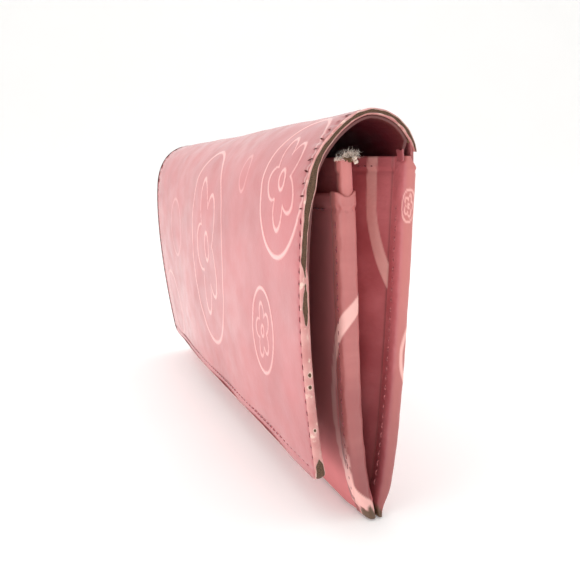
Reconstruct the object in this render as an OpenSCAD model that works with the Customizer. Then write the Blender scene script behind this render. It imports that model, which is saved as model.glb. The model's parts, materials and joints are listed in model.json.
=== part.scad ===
// Long flap wallet standing on its bottom fold, with the flap resting just off the front leaf.
// X runs along the wallet, -Y is the flap's side, +Z is up. The origin is the middle of the base.

/* [Wallet] */
// Length from end to end
wallet_l = 190; // [160:1:220]
// Height at which the two leaves end and the flap's arch begins
leaf_h = 89; // [86:0.5:92]
// Height of the flap's lower edge above the base
flap_clear = 11; // [8:0.5:20]
// Height of the slip pocket's mouth on the front leaf
pocket_h = 81.6; // [70:0.2:84]
// Width of the base strip from front to back
base_w = 9.2; // [8:0.2:10]

/* [Leather] */
// Thickness of the patent leather
patent_t = 1; // [0.8:0.1:1.2]
// Thickness of the stiffening board in the back leaf
board_t = 1.4; // [1:0.1:1.4]
// Thickness of the stiffening board in the flap
flap_board_t = 0.5; // [0.3:0.1:0.6]
// Thickness of the flap's lining
flap_lining_t = 0.7; // [0.5:0.1:0.9]
// Thickness of one gusset leaf
gusset_t = 0.6; // [0.4:0.1:0.7]

/* [Card slots] */
// Number of stepped card slot layers
slot_count = 3; // [1:1:3]
// Height of the highest slot's mouth
slot_top = 80; // [70:1:82]
// Drop from one slot's mouth to the next
slot_step = 11; // [8:1:12]

/* [Coin zip] */
// Length of the zip's window
zip_l = 136; // [80:2:140]
// Height of the zip's centre line
zip_z = 79.5; // [70:0.5:80]

/* [Snap] */
// Height of the stud on the front leaf
stud_z = 25; // [20:1:35]
// Radius of the stud's post
stud_r = 2.4; // [2:0.1:2.6]
// Radial play of the stud in its socket
snap_play = 0.8; // [0.4:0.1:1]

/* [Hidden] */
$fn = 48;

half_l = wallet_l / 2;
steps = 9;               // segments in each curve
gap = 0.3;               // clearance between layers that must stay apart
base_t = 1.4;
thread_d = 0.5;          // width of a seam's thread
thread_h = 0.2;          // how far a seam's thread stands out
seam_in = 3;             // distance of a seam from its edge
lining_t = 1;
back_t = patent_t + board_t + lining_t;
slot_t = 0.6;
front_t = 4.4;           // front leaf: pocket, slip gap, coin pocket
slip_gap = [1.5, 2.1];   // depth of the slip pocket's gap in the front leaf
coin_gap = [2.9, 3.6];   // depth of the coin pocket's gap
tape_t = 0.35;
window_h = 7;
front_z0 = 2.4;          // bottom of the front leaf, clear of the base as it turns
front_z1 = leaf_h + 0.6;
slot_z0 = 30;
flange_w = 6;            // width of the gusset's sewn flange
flange_z0 = 14;
crease_x = half_l - flange_w;
gusset_w = 16;           // width of one gusset leaf at the top
gusset_z0 = 3;
gusset_h = leaf_h - gusset_z0;
hem_h = 3;
back_crease = [1.3, 6.45];   // Y of the rear crease at its bottom and top
front_crease = [-0.1, -6.2]; // Y of the front crease at its bottom and top
fold_angle = 21.5;           // how far a gusset leaf stands off its panel
leaf_start = 9;              // where a gusset leaf begins above the foot of its crease
leaf_gap = 0.7;              // bare width left at the crease
slider_x = zip_l / 2 - 6;
pull_l = 17;

// A point on a cubic curve with control points c, at t from 0 to 1.
function cubic(c, t) = pow(1 - t, 3) * c[0] + 3 * t * pow(1 - t, 2) * c[1]
    + 3 * t * t * (1 - t) * c[2] + pow(t, 3) * c[3];
function curve(c) = [for (i = [0:steps]) cubic(c, i / steps)];
// Several curves end to end, with the shared points kept once.
function chain(list) = [for (k = [0:len(list) - 1]) let (p = curve(list[k]))
    for (i = [k == 0 ? 0 : 1:steps]) p[i]];
function unit(v) = v / norm(v);
function heading(p, i) = unit(p[min(i + 1, len(p) - 1)] - p[max(i - 1, 0)]);
// The path moved sideways by d, to the left of its direction of travel.
function beside(p, d) = [for (i = [0:len(p) - 1]) let (h = heading(p, i)) p[i] + d * [-h[1], h[0]]];
function reversed(p) = [for (i = [len(p) - 1:-1:0]) p[i]];
function y_at(p, z) = lookup(z, [for (q = p) [q[1], q[0]]]);
// Slope of a path from the vertical at height z.
function lean(p, z) = (y_at(p, z + 1) - y_at(p, z - 1)) / 2;

// Outer faces of the leaves and of the flap, as seen from the right-hand end.
back_face = curve([[4.3, base_t], [8.0, 14], [8.9, 45], [10.4, leaf_h + 0.5]]);
front_face = reversed(curve([[-3.4, front_z0], [-9.5, 20], [-8.3, 55], [-11.2, leaf_h + 1]]));
arch_back = [[10.4, leaf_h + 0.5], [10.4, 96], [5.2, 101], [-1.5, 101]];
arch_front = [[-1.5, 101], [-7.5, 101], [-17, 92], [-18, 83]];
flap_front = [[-18, 83], [-21, 62], [-19, 38], [-14.8, flap_clear]];
flap_face = chain([arch_back, arch_front, flap_front]);
flap_fall = curve(flap_front);

// Depths of the flap's layers
flap_board_in = patent_t;
flap_lining_in = patent_t + flap_board_t;
flap_t = flap_lining_in + flap_lining_t;
socket_z = stud_z + 1.7;   // higher than the stud, because closing brings the flap down
socket_h = 1.6;

module sheet(path, near, far, x0, x1, z0 = -1, z1 = 2 * leaf_h) {
    // A layer between two depths behind a path, from x0 to x1, cut level at heights z0 and z1.
    translate([x0, 0, 0]) rotate([90, 0, 90]) linear_extrude(x1 - x0) intersection() {
        polygon(concat(beside(path, near), reversed(beside(path, far))));
        translate([-leaf_h, z0]) square([2 * leaf_h, z1 - z0]);
    }
}

module full_sheet(path, near, far, z0, z1, inset = 0) {
    sheet(path, near, far, -half_l + inset, half_l - inset, z0, z1);
}

module at_face(path, z, depth) {
    // Puts its children on a face: their +Z points straight out of it, towards the front.
    slope = lean(path, z);
    tilt = atan(slope);
    translate([0, y_at(path, z) + depth * cos(tilt), z - depth * sin(tilt)])
        rotate([90 - tilt, 0, 0]) children();
}

module ring(r, hole_r, h) {
    difference() {
        cylinder(r = r, h = h);
        translate([0, 0, -1]) cylinder(r = hole_r, h = h + 2);
    }
}

module both_ends() {
    children();
    mirror([1, 0, 0]) children();
}

// Back leaf -----------------------------------------------------------------

module back_panel() {
    color("palevioletred") full_sheet(back_face, 0, patent_t, base_t, leaf_h);
}

module back_board() {
    color("saddlebrown") full_sheet(back_face, patent_t, patent_t + board_t, base_t + 0.6, leaf_h, 1);
}

module back_lining() {
    color("indianred") full_sheet(back_face, patent_t + board_t, back_t, base_t + 0.6, leaf_h);
}

module base_strip() {
    color("palevioletred") translate([-half_l, -base_w / 2, 0]) cube([wallet_l, base_w, base_t]);
}

module card_slot(k) {
    near = back_t + gap + k * (slot_t + gap);
    color("indianred") full_sheet(back_face, near, near + slot_t, slot_z0, slot_top - k * slot_step,
        flange_w + gusset_w + 1);
}

module flange_back() {
    color("palevioletred")
        sheet(back_face, back_t, back_t + 0.7, crease_x, half_l - 0.5, flange_z0, leaf_h);
}

// Gussets -------------------------------------------------------------------

module leaf_on_crease(crease, way) {
    // Stands a gusset leaf's own frame on its crease: local +Z runs up the crease.
    rise = atan((crease[1] - crease[0]) / gusset_h);
    translate([crease_x, crease[0], gusset_z0])
        rotate([-rise, 0, 0]) rotate([0, 0, way * fold_angle]) children();
}

module leaf_shape(z0, z1, thick, offset_y, short) {
    // The middle fold is the slanting edge; short is how far the shape stops before it.
    w0 = (gusset_w - 0.4) * z0 / gusset_h - short;
    w1 = (gusset_w - 0.4) * z1 / gusset_h - short;
    translate([0, offset_y + thick / 2, 0]) rotate([90, 0, 0]) linear_extrude(thick)
        polygon([[-leaf_gap, z0], [-leaf_gap, z1], [-w1, z1], [-w0, z0]]);
}

module gusset_leaf(crease, way) {
    color("palevioletred") leaf_on_crease(crease, way) leaf_shape(leaf_start, gusset_h, gusset_t, 0, 0);
}

module gusset_hem(crease, way) {
    // The turned-down top edge, on the side that faces out of the wallet.
    color("indianred") leaf_on_crease(crease, way)
        leaf_shape(gusset_h - hem_h, gusset_h, 0.3, -way * (gusset_t / 2 + 0.15), 1.2);
}

// Front leaf ----------------------------------------------------------------

module pocket_panel() {
    color("palevioletred") difference() {
        full_sheet(front_face, 0, patent_t, 0, pocket_h);
        at_face(front_face, stud_z, 3) cylinder(r = 1.3, h = 6);
    }
}

module pocket_lining() {
    color("indianred") difference() {
        full_sheet(front_face, patent_t, slip_gap[0], 0, pocket_h);
        at_face(front_face, stud_z, 3) cylinder(r = 1.3, h = 6);
    }
}

module coin_wall_front() {
    color("palevioletred") full_sheet(front_face, slip_gap[1], coin_gap[0], 0, front_z1);
}

module coin_wall_back() {
    color("palevioletred") difference() {
        full_sheet(front_face, coin_gap[1], front_t, 0, front_z1);
        translate([-zip_l / 2, -20, zip_z - window_h / 2]) cube([zip_l, 30, window_h]);
    }
}

module flange_front() {
    color("palevioletred")
        sheet(front_face, front_t, front_t + 0.5, crease_x, half_l - 0.5, flange_z0, leaf_h);
}

// Coin zip ------------------------------------------------------------------

module zip_tape(z0, z1) {
    color("mediumvioletred")
        sheet(front_face, coin_gap[1] - tape_t, coin_gap[1], -zip_l / 2 - 4, zip_l / 2 + 4, z0, z1);
}

module zip_teeth(z0, z1) {
    color("goldenrod")
        sheet(front_face, coin_gap[1], front_t - 0.1, -zip_l / 2 + 1.5, zip_l / 2 - 1.5, z0, z1);
}

module zip_end_stops() {
    color("goldenrod") both_ends()
        sheet(front_face, coin_gap[1], front_t, zip_l / 2 - 1.4, zip_l / 2 - 0.2, zip_z - 1.6, zip_z + 1.6);
}

module zip_slider() {
    // A plate over the teeth with two cheeks that reach into the window, and a post for the pull.
    color("goldenrod") translate([slider_x, 0, 0])
        at_face(front_face, zip_z, coin_gap[1] + 0.1) rotate([180, 0, 0]) {
            linear_extrude(1.5) for (side = [-1, 1]) translate([-3.4, side * 2.4 - 0.5]) square([6.8, 1]);
            translate([-4.2, -2.9, 0.8]) cube([8.4, 5.8, 0.7]);
            translate([0, 0, 1.2]) cylinder(r = 0.9, h = 2);
            translate([0, 0, 2.9]) cylinder(r = 1.5, h = 0.5);
        }
}

module zip_pull() {
    color("goldenrod") translate([slider_x, 0, 0])
        at_face(front_face, zip_z, front_t + 1) rotate([180, 0, 0]) linear_extrude(0.9) difference() {
            union() {
                circle(r = 2.2);
                translate([-1.5, 0]) square([3, pull_l - 3]);
                translate([-2.4, pull_l - 9]) square([4.8, 6.6]);
                translate([0, pull_l - 2.4]) circle(r = 2.4);
            }
            circle(r = 0.97);
        }
}

// Snap ----------------------------------------------------------------------

module snap_stud() {
    color("gold") at_face(front_face, stud_z, 0) {
        ring(4.8, 1.25, 0.4);
        translate([0, 0, 0.4]) cylinder(r = stud_r - 0.35, h = 1.6);
        translate([0, 0, 1.2]) cylinder(r = stud_r, h = 0.6);
    }
}

module snap_stud_post() {
    // A washer just behind the pocket's lining, and the barrel that the stud is riveted on.
    color("gold") at_face(front_face, stud_z, slip_gap[0]) {
        translate([0, 0, -0.45]) cylinder(r = 4, h = 0.35);
        translate([0, 0, -0.2]) cylinder(r = 1.2, h = slip_gap[0] + 0.2);
    }
}

module snap_socket() {
    color("gold") at_face(flap_fall, socket_z, flap_t + 0.05) rotate([180, 0, 0]) {
        difference() {
            cylinder(r = 5.6, h = socket_h);
            translate([0, 0, 0.3]) cylinder(r = stud_r + snap_play, h = socket_h);
            translate([0, 0, -1]) cylinder(r = 1.25, h = 3);
        }
    }
}

module snap_cap() {
    // A disc hidden under the flap's outer leather, with a barrel through the board and lining.
    color("gold") at_face(flap_fall, socket_z, flap_lining_in) {
        translate([0, 0, 0.05]) cylinder(r = 6, h = flap_board_t - 0.15);
        translate([0, 0, -flap_lining_t]) cylinder(r = 1.2, h = flap_lining_t + 0.1);
    }
}

// Flap ----------------------------------------------------------------------

module flap_layer(near, far, inset) {
    // A layer of the flap, with its lower corners rounded.
    r = 3;
    intersection() {
        sheet(flap_face, near, far, -half_l + inset, half_l - inset);
        translate([0, 50, 0]) rotate([90, 0, 0]) linear_extrude(100) union() {
            translate([-half_l, flap_clear - 2 + r]) square([wallet_l, 100]);
            translate([-half_l + r, flap_clear - 2]) square([wallet_l - 2 * r, 50]);
            for (side = [-1, 1]) translate([side * (half_l - r), flap_clear - 2 + r]) circle(r = r);
        }
    }
}

module flap_panel() {
    color("palevioletred") flap_layer(0, patent_t, 0);
}

module flap_board() {
    color("saddlebrown") difference() {
        flap_layer(flap_board_in, flap_lining_in, 0.5);
        at_face(flap_fall, socket_z, flap_lining_in) translate([0, 0, -1]) cylinder(r = 6.1, h = 3);
    }
}

module flap_lining() {
    color("indianred") difference() {
        flap_layer(flap_lining_in, flap_t, 0);
        at_face(flap_fall, socket_z, flap_lining_in) translate([0, 0, -2]) cylinder(r = 1.3, h = 4);
    }
}

// Seams ---------------------------------------------------------------------

module end_seams(path, z0, z1) {
    both_ends() sheet(path, -thread_h, 0, half_l - seam_in, half_l - seam_in + thread_d, z0, z1);
}

module thread_flap_ends() {
    color("pink") end_seams(flap_face, -1, 2 * leaf_h);
}

module thread_flap_hem() {
    color("pink")
        full_sheet(flap_face, -thread_h, 0, flap_clear + seam_in, flap_clear + seam_in + thread_d, 4);
}

module thread_back_ends() {
    color("pink") end_seams(back_face, flange_z0 + 2, leaf_h - 3);
}

module thread_front_ends() {
    color("pink") end_seams(front_face, 6, pocket_h - 3);
}

module thread_pocket_hem() {
    color("pink") full_sheet(front_face, -thread_h, 0, pocket_h - 4, pocket_h - 4 + thread_d, 4);
}

module thread_card_slots() {
    // The seam that parts the slots into two columns.
    front = back_t + gap + slot_count * (slot_t + gap);
    color("pink") sheet(back_face, front - gap, front - gap + thread_h, -thread_d / 2, thread_d / 2,
        slot_z0 + 1, slot_top - (slot_count - 1) * slot_step - 1);
}

module thread_zip_window() {
    color("pink") for (z = [zip_z - window_h / 2 - 2, zip_z + window_h / 2 + 1.5])
        sheet(front_face, front_t, front_t + thread_h, -zip_l / 2 - 3, zip_l / 2 + 3, z, z + thread_d);
}

back_panel();
back_board();
back_lining();
base_strip();
card_slot(0);  // card_slot_upper
card_slot(1);  // card_slot_middle
card_slot(2);  // card_slot_lower
flange_back();  // flange_right_back
mirror([1, 0, 0]) flange_back();  // flange_left_back
flange_front();  // flange_right_front
mirror([1, 0, 0]) flange_front();  // flange_left_front
gusset_leaf(back_crease, 1);  // gusset_right_back
gusset_leaf(front_crease, -1);  // gusset_right_front
mirror([1, 0, 0]) gusset_leaf(back_crease, 1);  // gusset_left_back
mirror([1, 0, 0]) gusset_leaf(front_crease, -1);  // gusset_left_front
gusset_hem(back_crease, 1);  // gusset_hem_right_back
gusset_hem(front_crease, -1);  // gusset_hem_right_front
mirror([1, 0, 0]) gusset_hem(back_crease, 1);  // gusset_hem_left_back
mirror([1, 0, 0]) gusset_hem(front_crease, -1);  // gusset_hem_left_front
pocket_panel();
pocket_lining();
coin_wall_front();
coin_wall_back();
zip_tape(zip_z + 0.1, zip_z + 6);  // zip_tape_upper
zip_tape(zip_z - 6, zip_z - 0.1);  // zip_tape_lower
zip_teeth(zip_z + 0.05, zip_z + 1.2);  // zip_teeth_upper
zip_teeth(zip_z - 1.2, zip_z - 0.05);  // zip_teeth_lower
zip_end_stops();
zip_slider();
zip_pull();
snap_stud();
snap_stud_post();
flap_panel();
flap_board();
flap_lining();
snap_socket();
snap_cap();
thread_flap_ends();
thread_flap_hem();
thread_back_ends();
thread_front_ends();
thread_pocket_hem();
thread_card_slots();
thread_zip_window();
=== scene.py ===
"""Looks of the long flap wallet: one leather shell, two leaves, pleated gussets, seams, zip and snap.

Lengths are in millimetres inside this script and become metres when a mesh is made.
Profiles are (Y, Z) pairs in the frame's end view; every sheet runs along X.
"""
import json
import math

import bmesh
import bpy
import numpy as np
from mathutils import Matrix, Vector


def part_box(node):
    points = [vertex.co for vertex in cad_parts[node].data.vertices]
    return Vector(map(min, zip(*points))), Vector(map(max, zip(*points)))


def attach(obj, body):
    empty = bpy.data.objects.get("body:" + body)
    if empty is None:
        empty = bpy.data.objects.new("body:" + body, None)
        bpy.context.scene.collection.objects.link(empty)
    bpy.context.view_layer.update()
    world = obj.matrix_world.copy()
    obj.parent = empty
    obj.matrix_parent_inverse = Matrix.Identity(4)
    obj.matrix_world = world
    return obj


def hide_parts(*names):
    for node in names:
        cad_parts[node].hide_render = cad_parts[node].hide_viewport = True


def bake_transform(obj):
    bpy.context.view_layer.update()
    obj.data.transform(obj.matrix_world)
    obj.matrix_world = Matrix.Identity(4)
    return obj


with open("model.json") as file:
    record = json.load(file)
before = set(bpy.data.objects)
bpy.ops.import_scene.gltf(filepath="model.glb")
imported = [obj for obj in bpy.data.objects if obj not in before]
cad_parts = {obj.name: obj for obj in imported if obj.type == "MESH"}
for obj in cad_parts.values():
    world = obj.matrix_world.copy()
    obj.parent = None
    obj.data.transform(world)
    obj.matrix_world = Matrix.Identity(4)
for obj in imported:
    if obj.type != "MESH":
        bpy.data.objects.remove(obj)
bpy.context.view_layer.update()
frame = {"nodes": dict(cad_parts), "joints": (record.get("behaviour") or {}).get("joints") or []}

MM = 0.001
TURN = 2 * math.pi
UV_UNIT = 100
RNG = np.random.default_rng(7)


def low(node, axis):
    """Lowest coordinate of a CAD node along axis 0, 1 or 2, in millimetres."""
    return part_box(node)[0][axis] / MM


def high(node, axis):
    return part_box(node)[1][axis] / MM


# Sizes from the frame

HALF_L = high("flap_panel", 0)
LEAF_TOP = high("back_panel", 2)
BASE_TOP = high("base_strip", 2)
BASE_FRONT = low("base_strip", 1)
BASE_BACK = high("base_strip", 1)
FLAP_LOW = low("flap_panel", 2)
ARCH_TOP = high("flap_panel", 2)
HINGE_Y = high("back_panel", 1)
HINGE_Z = LEAF_TOP + 0.5
POCKET_TOP = high("pocket_panel", 2)
FRONT_LOW = low("pocket_panel", 2)
FRONT_TOP = high("coin_wall_front", 2)
SLOT_HALF = high("card_slot_upper", 0)
SLOT_TOPS = [high(f"card_slot_{k}", 2) for k in ("upper", "middle", "lower")]
SLOT_LOW = low("card_slot_upper", 2)
ZIP_HALF = high("zip_teeth_upper", 0)
ZIP_Z = (low("zip_teeth_upper", 2) + high("zip_teeth_lower", 2)) / 2

# Depths below the outer face of each leaf, as in the CAD model
PATENT = 1.0
FLAP_BOARD = 0.5
FLAP_T = 2.2
BACK_T = 3.4
SLOT_T = 0.6
SLOT_GAP = 0.3
SLIP_GAP = (1.5, 2.1)
COIN_GAP = (2.9, 3.6)
FRONT_T = 4.4

WINDOW_H = 7  # height of the zip's window
SEAM_IN = 2.6  # from the flap's lower edge to its seam
STITCH_PITCH = 2.9
END_ZONE = 9  # how far from an end the corners are shaped
MEET_Y = 0.6  # where the two leaves' lower corners are drawn to
DRAWN_OUT = 1.9
CREASE_AT = 90.3  # X of the line where a gusset leaves a rolled end
PLEAT_WIDTH = 15.7  # of a gusset's half at its top
TIP_GAP = 0.3  # from a pleat's tip to the CAD model's
RIM = (0.2, 0.5, 0.8)  # rows of a sheet's rounded rim, as shares of its thickness


# Curves


def cubic(points, count):
    """Points along a cubic curve."""
    p = np.array(points, float)
    t = np.linspace(0, 1, count)[:, None]
    return (1 - t) ** 3 * p[0] + 3 * t * (1 - t) ** 2 * p[1] + 3 * t * t * (1 - t) * p[2] + t ** 3 * p[3]


def joined(*parts):
    """Curves end to end, with each shared point kept once."""
    return np.vstack([parts[0]] + [p[1:] for p in parts[1:]])


def unit(v):
    """Vectors brought to length 1 along the last axis."""
    return v / np.linalg.norm(v, axis=-1, keepdims=True)


def outward(path):
    """Unit normals to the right of the direction of travel, which is the outside of every leaf here."""
    d = unit(np.gradient(path, axis=0))
    return np.stack([d[..., 1], -d[..., 0]], axis=-1)


def run_length(path):
    """Distance travelled at each point of a path."""
    return np.concatenate([[0], np.cumsum(np.linalg.norm(np.diff(path, axis=0), axis=1))])


def smooth(t):
    """0 up to t = 0, 1 from t = 1, and an even ease between."""
    t = np.clip(t, 0, 1)
    return t * t * (3 - 2 * t)


def bell(distance, width):
    """1 at no distance, falling off on both sides."""
    return np.exp(-(distance / width) ** 2)


BACK_CURVE = [(BASE_BACK - 0.4, BASE_TOP), (8.0, 14), (8.9, 45), (HINGE_Y, LEAF_TOP + 0.5)]
FRONT_CURVE = [(-11.2, FRONT_TOP + 0.4), (-8.3, 55), (-9.5, 20), (-3.4, FRONT_LOW)]
ARCH_BACK = [(HINGE_Y, LEAF_TOP + 0.5), (HINGE_Y, 96), (5.2, ARCH_TOP), (-1.5, ARCH_TOP)]
ARCH_NEAR = [(-1.5, ARCH_TOP), (-7.5, ARCH_TOP), (-17, 92), (-18, 83)]
FALL_NEAR = [(-18, 83), (-21, 62), (-19, 38), (-14.8, FLAP_LOW)]
ARCH_FAR = [(-1.5, ARCH_TOP), (-10, ARCH_TOP), (-17.5, 96), (-19, 84)]
FALL_FAR = [(-19, 84), (-20.8, 68), (-17.6, 38), (-11.9, FLAP_LOW - 1)]


def near_share(x):
    """How far the flap has the near end's profile at x; the far end hangs a little differently."""
    return smooth((np.asarray(x, float) + HALF_L) / 75)


def shell_profiles(fine, gap=3):
    """Near and far profiles of the shell, from the base up the back, over the arch and down the flap.

    No row lies within the gap of the hinge.
    """
    back = cubic(BACK_CURVE, int(125 * fine) + 2)
    arch = cubic(ARCH_BACK, int(40 * fine) + 2)
    near = joined(back, arch, cubic(ARCH_NEAR, int(66 * fine) + 2), cubic(FALL_NEAR, int(180 * fine) + 2))
    far = joined(back, arch, cubic(ARCH_FAR, int(66 * fine) + 2), cubic(FALL_FAR, int(180 * fine) + 2))
    kept = (near[:, 0] < 8.5) | (np.abs(near[:, 1] - HINGE_Z) > gap)
    return near[kept], far[kept]


def lofted(near, far, xs):
    """A grid of points and outward normals between two profiles, as arrays (row, column, 3)."""
    w = near_share(xs)[None, :, None]
    yz = far[:, None, :] * (1 - w) + near[:, None, :] * w
    n = outward(far)[:, None, :] * (1 - w) + outward(near)[:, None, :] * w
    n = unit(n)
    x = np.broadcast_to(np.asarray(xs, float)[None, :, None], yz.shape[:2] + (1,))
    points = np.concatenate([x, yz], axis=-1)
    normals = np.concatenate([np.zeros_like(x), n], axis=-1)
    return points, normals


def straight(path, xs):
    """A grid of points and normals for a sheet with one profile."""
    return lofted(path, path, xs)


def between(path, z0, z1, count):
    """The stretch of a rising or falling path between two heights, in that order."""
    order = np.argsort(path[:, 1])
    z = np.linspace(z0, z1, count)
    return np.stack([np.interp(z, path[order, 1], path[order, 0]), z], axis=-1)


def deeper(path, depth):
    """The path moved into the leaf."""
    return path - depth * outward(path)


# Meshes


def drawn_in(verts):
    """The two leaves' lower corners, pulled together and a little outwards where the gusset ends."""
    x, y, z = np.asarray(verts, float).T
    pull = bell(z, 3.2) * smooth((np.abs(x) - (HALF_L - END_ZONE)) / (END_ZONE - 0.5))
    share = np.where(y > MEET_Y, 0.6, 0.35) * pull
    return np.stack([x + np.sign(x) * DRAWN_OUT * pull ** 2, y + (MEET_Y - y) * share, z], axis=-1)


def added(name, data):
    """A new object in the scene."""
    obj = bpy.data.objects.new(name, data)
    bpy.context.scene.collection.objects.link(obj)
    return obj


def piece(name, verts, faces, mat, uv=None, attributes=None):
    """A smooth-shaded object from millimetre vertices, with a metric UV map and point attributes."""
    mesh = bpy.data.meshes.new(name)
    mesh.from_pydata((drawn_in(verts) * MM).tolist(), [], faces)
    mesh.validate()
    if uv is not None:
        corner = np.empty(len(mesh.loops), int)
        mesh.loops.foreach_get("vertex_index", corner)
        layer = mesh.uv_layers.new(name="UVMap")
        layer.data.foreach_set("uv", (np.asarray(uv)[corner] / UV_UNIT).ravel().astype(np.float32))
    for key, values in (attributes or {}).items():
        mesh.attributes.new(key, "FLOAT", "POINT").data.foreach_set("value", np.asarray(values, np.float32))
    mesh.shade_smooth()
    mesh.materials.append(mat)
    return added(name, mesh)


def fit(obj, slot, body, *nodes):
    """Hide the CAD nodes that a piece stands for and attach it to the body that carries it."""
    if nodes:
        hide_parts(*nodes)
    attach(obj, body)


def quads(rows, cols, first=0, flip=False):
    """Faces of a grid of rows by cols vertices."""
    i, j = np.meshgrid(np.arange(rows - 1), np.arange(cols - 1), indexing="ij")
    a = first + i * cols + j
    f = np.stack([a, a + 1, a + cols + 1, a + cols], axis=-1).reshape(-1, 4)
    return (f[:, ::-1] if flip else f).tolist()


def rim_loop(rows, cols):
    """Indices round the border of a grid, and for each the index of the vertex just inside it."""
    top = [(0, j) for j in range(cols - 1)]
    right = [(i, cols - 1) for i in range(rows - 1)]
    bottom = [(rows - 1, j) for j in range(cols - 1, 0, -1)]
    left = [(i, 0) for i in range(rows - 1, 0, -1)]
    loop = top + right + bottom + left
    inner = [(min(max(i, 1), rows - 2), min(max(j, 1), cols - 2)) for i, j in loop]
    return [i * cols + j for i, j in loop], [i * cols + j for i, j in inner]


def cut_window(rows, cols, window):
    """Faces of a slab's two sides without the cells of a window, and the walls round that window."""
    i0, i1, j0, j1 = window
    count = rows * cols
    cells = [(i, j) for i in range(rows - 1) for j in range(cols - 1) if not (i0 <= i < i1 and j0 <= j < j1)]
    faces = [[i * cols + j, i * cols + j + 1, (i + 1) * cols + j + 1, (i + 1) * cols + j] for i, j in cells]
    faces += [[count + k for k in reversed(f)] for f in faces]
    loop = [(i0, j) for j in range(j0, j1)] + [(i, j1) for i in range(i0, i1)]
    loop += [(i1, j) for j in range(j1, j0, -1)] + [(i, j0) for i in range(i1, i0, -1)]
    loop = [i * cols + j for i, j in loop]
    return faces + [[b, a, count + a, count + b] for a, b in zip(loop, loop[1:] + loop[:1])]


def slab(name, grid, near, far, mat, bulge=0.3, lift=0.0, window=None, **attributes):
    """A sheet between the depths near and far below a grid, with a rounded rim."""
    points, normals = grid
    rows, cols = points.shape[:2]
    count = rows * cols
    outer, inner = ((points - normals * np.broadcast_to(depth, (rows, cols))[..., None]).reshape(-1, 3)
                    for depth in (near - lift, far))
    loop, inside = rim_loop(rows, cols)
    away = unit(outer[loop] - outer[inside])
    rings = [outer[loop] * (1 - k) + inner[loop] * k + away * bulge * math.sin(math.pi * k) for k in RIM]
    loops = [loop] + [[2 * count + k * len(loop) + i for i in range(len(loop))] for k in range(len(RIM))]
    loops.append([count + i for i in loop])
    if window:
        faces = cut_window(rows, cols, window)
    else:
        faces = quads(rows, cols) + quads(rows, cols, count, flip=True)
    for a, b in zip(loops, loops[1:]):
        faces += [[a[i], b[i], b[(i + 1) % len(a)], a[(i + 1) % len(a)]] for i in range(len(a))]
    s = run_length(points[:, cols // 2])
    uv = np.stack(np.broadcast_arrays(points[..., 0], s[:, None]), axis=-1).reshape(-1, 2)
    uv = np.vstack([uv, uv] + [uv[loop] + 0.4 * (k + 1) for k in range(len(RIM))])
    full = {}
    for key, values in attributes.items():
        v = np.asarray(values, float).reshape(-1)
        full[key] = np.concatenate([v, v * 0] + [v[loop]] * len(RIM))
    return piece(name, np.vstack([outer, inner] + rings), faces, mat, uv, full)


def spaced(start, stop, step):
    """Evenly spaced values from start to stop, about step apart."""
    return np.linspace(start, stop, max(int(round(abs(stop - start) / step)) + 1, 4))


def tubes(name, stacks, mat, uv=True, capped=True):
    """One mesh of many small tubes, each given as an array (ring, side, 3)."""
    verts, faces = [], []
    for stack in stacks:
        rings, sides = stack.shape[:2]
        for r in range(rings - 1):
            o = len(verts) + r * sides
            for a, b in zip(range(sides), [*range(1, sides), 0]):
                faces.append([o + a, o + b, o + sides + b, o + sides + a])
        if capped:
            faces.append([len(verts) + a for a in range(sides)][::-1])
            faces.append([len(verts) + (rings - 1) * sides + a for a in range(sides)])
        verts.extend(stack.reshape(-1, 3))
    verts = np.array(verts)
    return piece(name, verts, faces, mat, verts[:, [0, 2]] if uv else None)


def nearest(values, target):
    return int(np.argmin(np.abs(values - target)))


def along(line, s, t):
    """Points at the distances t along a line whose own points lie at the distances s."""
    return np.stack([np.interp(t, s, line[:, a]) for a in range(3)], axis=-1)


def seam(name, body, points, normals, mat=None, pitch=STITCH_PITCH, radius=0.27, nodes=()):
    """A row of single stitches along a line on a face; each one dives into its needle holes."""
    sunk = 0.3
    s = run_length(points)
    crown = np.sin(np.linspace(0, math.pi, 7)) ** 0.6
    width = (radius * (0.45 + 0.55 * crown))[:, None, None]
    angles = np.linspace(0, TURN, 8, endpoint=False)[None, :, None]
    stacks = []
    for k in range(int(s[-1] / pitch)):
        t = np.linspace(k * pitch + 0.35, (k + 1) * pitch - 0.35, len(crown))
        centre, normal = along(points, s, t), along(normals, s, t)
        side = np.cross(unit(np.gradient(centre, axis=0)), normal)
        centre = centre + normal * (radius * 0.55 * crown - sunk * (1 - crown))[:, None]
        around = np.cos(angles) * side[:, None] + np.sin(angles) * normal[:, None]
        stacks.append(centre[:, None] + width * around)
    fit(tubes(name, stacks, mat or THREAD_DARK_MAT), "thread", body, *nodes)


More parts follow.
